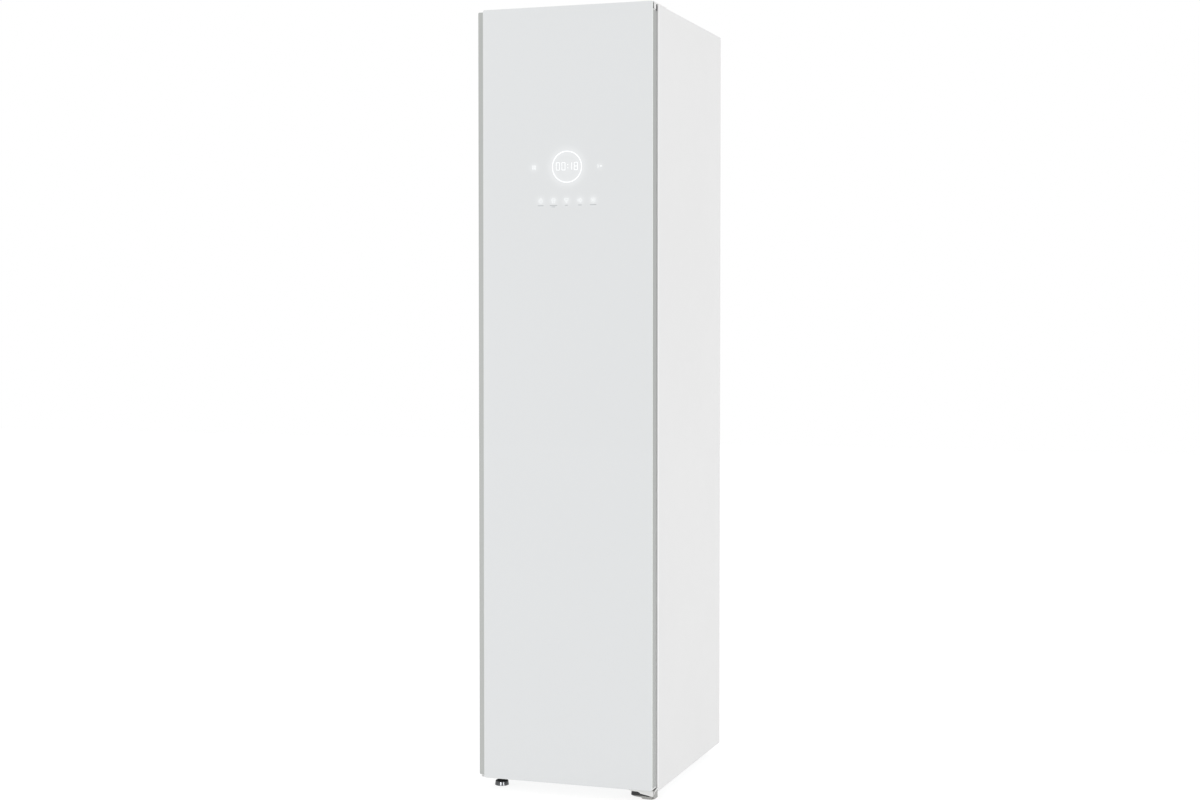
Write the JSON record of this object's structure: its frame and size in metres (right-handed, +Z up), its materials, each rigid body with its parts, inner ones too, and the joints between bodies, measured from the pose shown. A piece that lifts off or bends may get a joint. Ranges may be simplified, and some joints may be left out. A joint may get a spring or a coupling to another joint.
{
  "type": "clothes care steam cabinet",
  "caption": "Tall narrow steam closet for clothes, with a full-height white glass door on a side hinge, touch display, shaking hanger, trouser press, shelf and water tanks.",
  "frame": {"origin": "on the floor under the centre of the cabinet's width and depth", "axes": "+X to the right as seen from the front, +Y to the back, +Z up"},
  "size_m": [0.445, 0.58, 1.85],
  "materials": {
    "white_enamel": "satin",
    "zinc_steel": "satin",
    "screw_steel": "gloss",
    "black_plastic": "matte",
    "foam": "matte",
    "liner_plastic": "satin",
    "grey_plastic": "satin",
    "lamp_lens": "satin",
    "cast_metal": "matte",
    "bar_metal": "satin",
    "coated_wire": "satin",
    "tank_plastic": "gloss",
    "black_enamel": "satin",
    "fin_metal": "satin",
    "copper": "gloss",
    "silicone": "matte",
    "white_seal": "matte",
    "white_glass": "gloss",
    "anodised": "satin",
    "white_moulding": "satin",
    "display": "gloss"
  },
  "bodies": {
    "cabinet": {"side_panel_right": "white_enamel", "side_panel_left": "white_enamel", "top_cover": "white_enamel", "rear_panel": "zinc_steel", "service_cover": "zinc_steel", "power_inlet": "black_plastic", "casing_screws": "screw_steel", "base_pan": "zinc_steel", "front_frame": "white_enamel", "insulation": "foam", "chamber_right_wall": "liner_plastic", "chamber_left_wall": "liner_plastic", "chamber_back_wall": "liner_plastic", "chamber_ceiling": "liner_plastic", "chamber_floor": "liner_plastic", "floor_grille": "grey_plastic", "back_vents": "grey_plastic", "steam_nozzle": "grey_plastic", "chamber_lamp": "lamp_lens", "drive_plate": "zinc_steel", "guide_rods": "screw_steel", "shaker_motor": "black_plastic", "drive_cover": "grey_plastic", "tank_bay": "grey_plastic", "compressor": "black_enamel", "heat_exchangers": "fin_metal", "blower_housing": "grey_plastic", "blower_motor": "black_plastic", "steam_generator": "cast_metal", "steam_hose": "silicone", "drain_pump": "black_plastic", "control_box": "black_plastic", "refrigerant_pipes": "copper", "lower_hinge": "zinc_steel", "upper_hinge": "white_moulding"},
    "door": {"door_glass": "white_glass", "grip_profile": "anodised", "hinge_profile": "anodised", "door_top_cap": "white_moulding", "door_bottom_cap": "white_moulding", "door_core": "foam", "door_liner": "liner_plastic", "door_gasket": "white_seal", "display_module": "display", "press_board": "liner_plastic", "press_pins": "screw_steel"},
    "press": {"press_panel": "grey_plastic"},
    "hanger": {"hanger_carriage": "cast_metal", "hanger_bar": "bar_metal"},
    "crank": {"crank": "cast_metal"},
    "blower_wheel": {"blower_wheel": "grey_plastic"},
    "lint_filter": {"lint_filter": "grey_plastic"},
    "scent_box": {"scent_box": "grey_plastic"},
    "shelf": {"shelf": "coated_wire"},
    "drain_tank": {"drain_tank": "tank_plastic"},
    "fresh_tank": {"fresh_tank": "tank_plastic"},
    "foot_front_left": {"foot_front_left": "black_plastic"},
    "foot_front_right": {"foot_front_right": "black_plastic"},
    "foot_rear_left": {"foot_rear_left": "black_plastic"},
    "foot_rear_right": {"foot_rear_right": "black_plastic"}
  },
  "joints": [
    {"name": "door_hinge", "type": "hinge", "parent": "cabinet", "child": "door", "pos_m": [0.212, -0.265, 0], "axis": [0, 0, 1], "range_deg": [0, 115]},
    {"name": "press_hinge", "type": "hinge", "parent": "door", "child": "press", "pos_m": [0.134, -0.236, 0], "axis": [0, 0, -1], "range_deg": [0, 90]},
    {"name": "hanger_slide", "type": "slide", "parent": "cabinet", "child": "hanger", "axis": [1, 0, 0], "range_m": [-0.012, 0.012]},
    {"name": "crank_turn", "type": "hinge", "parent": "cabinet", "child": "crank", "pos_m": [0, -0.01, 0], "axis": [0, 0, -1], "range_deg": [-52, 52]},
    {"name": "blower_spin", "type": "hinge", "parent": "cabinet", "child": "blower_wheel", "pos_m": [-0.1, 0, 0.216], "axis": [0, 1, 0], "continuous": true},
    {"name": "shelf_lift", "type": "slide", "parent": "cabinet", "child": "shelf", "axis": [0, 0, 1], "range_m": [0, 0.05]},
    {"name": "lint_filter_lift", "type": "slide", "parent": "cabinet", "child": "lint_filter", "axis": [0, 0, 1], "range_m": [0, 0.08]},
    {"name": "scent_box_lift", "type": "slide", "parent": "cabinet", "child": "scent_box", "axis": [0, 0, 1], "range_m": [0, 0.08]},
    {"name": "drain_tank_slide", "type": "slide", "parent": "cabinet", "child": "drain_tank", "axis": [0, -1, 0], "range_m": [0, 0.1]},
    {"name": "fresh_tank_slide", "type": "slide", "parent": "cabinet", "child": "fresh_tank", "axis": [0, -1, 0], "range_m": [0, 0.1]},
    {"name": "foot_front_left_turn", "type": "hinge", "parent": "cabinet", "child": "foot_front_left", "pos_m": [-0.187, -0.203, 0], "axis": [0, 0, 1], "continuous": true},
    {"name": "foot_front_right_turn", "type": "hinge", "parent": "cabinet", "child": "foot_front_right", "pos_m": [0.154, -0.188, 0], "axis": [0, 0, 1], "continuous": true},
    {"name": "foot_rear_left_turn", "type": "hinge", "parent": "cabinet", "child": "foot_rear_left", "pos_m": [-0.165, 0.24, 0], "axis": [0, 0, 1], "continuous": true},
    {"name": "foot_rear_right_turn", "type": "hinge", "parent": "cabinet", "child": "foot_rear_right", "pos_m": [0.165, 0.24, 0], "axis": [0, 0, 1], "continuous": true}
  ],
  "couplings": [
    {"joint": "crank_turn", "follows": "hanger_slide", "rad_per_m": 72},
    {"joint": "drain_tank_slide", "follows": "door_hinge", "m_per_rad": 0.048},
    {"joint": "fresh_tank_slide", "follows": "door_hinge", "m_per_rad": 0.048}
  ]
}
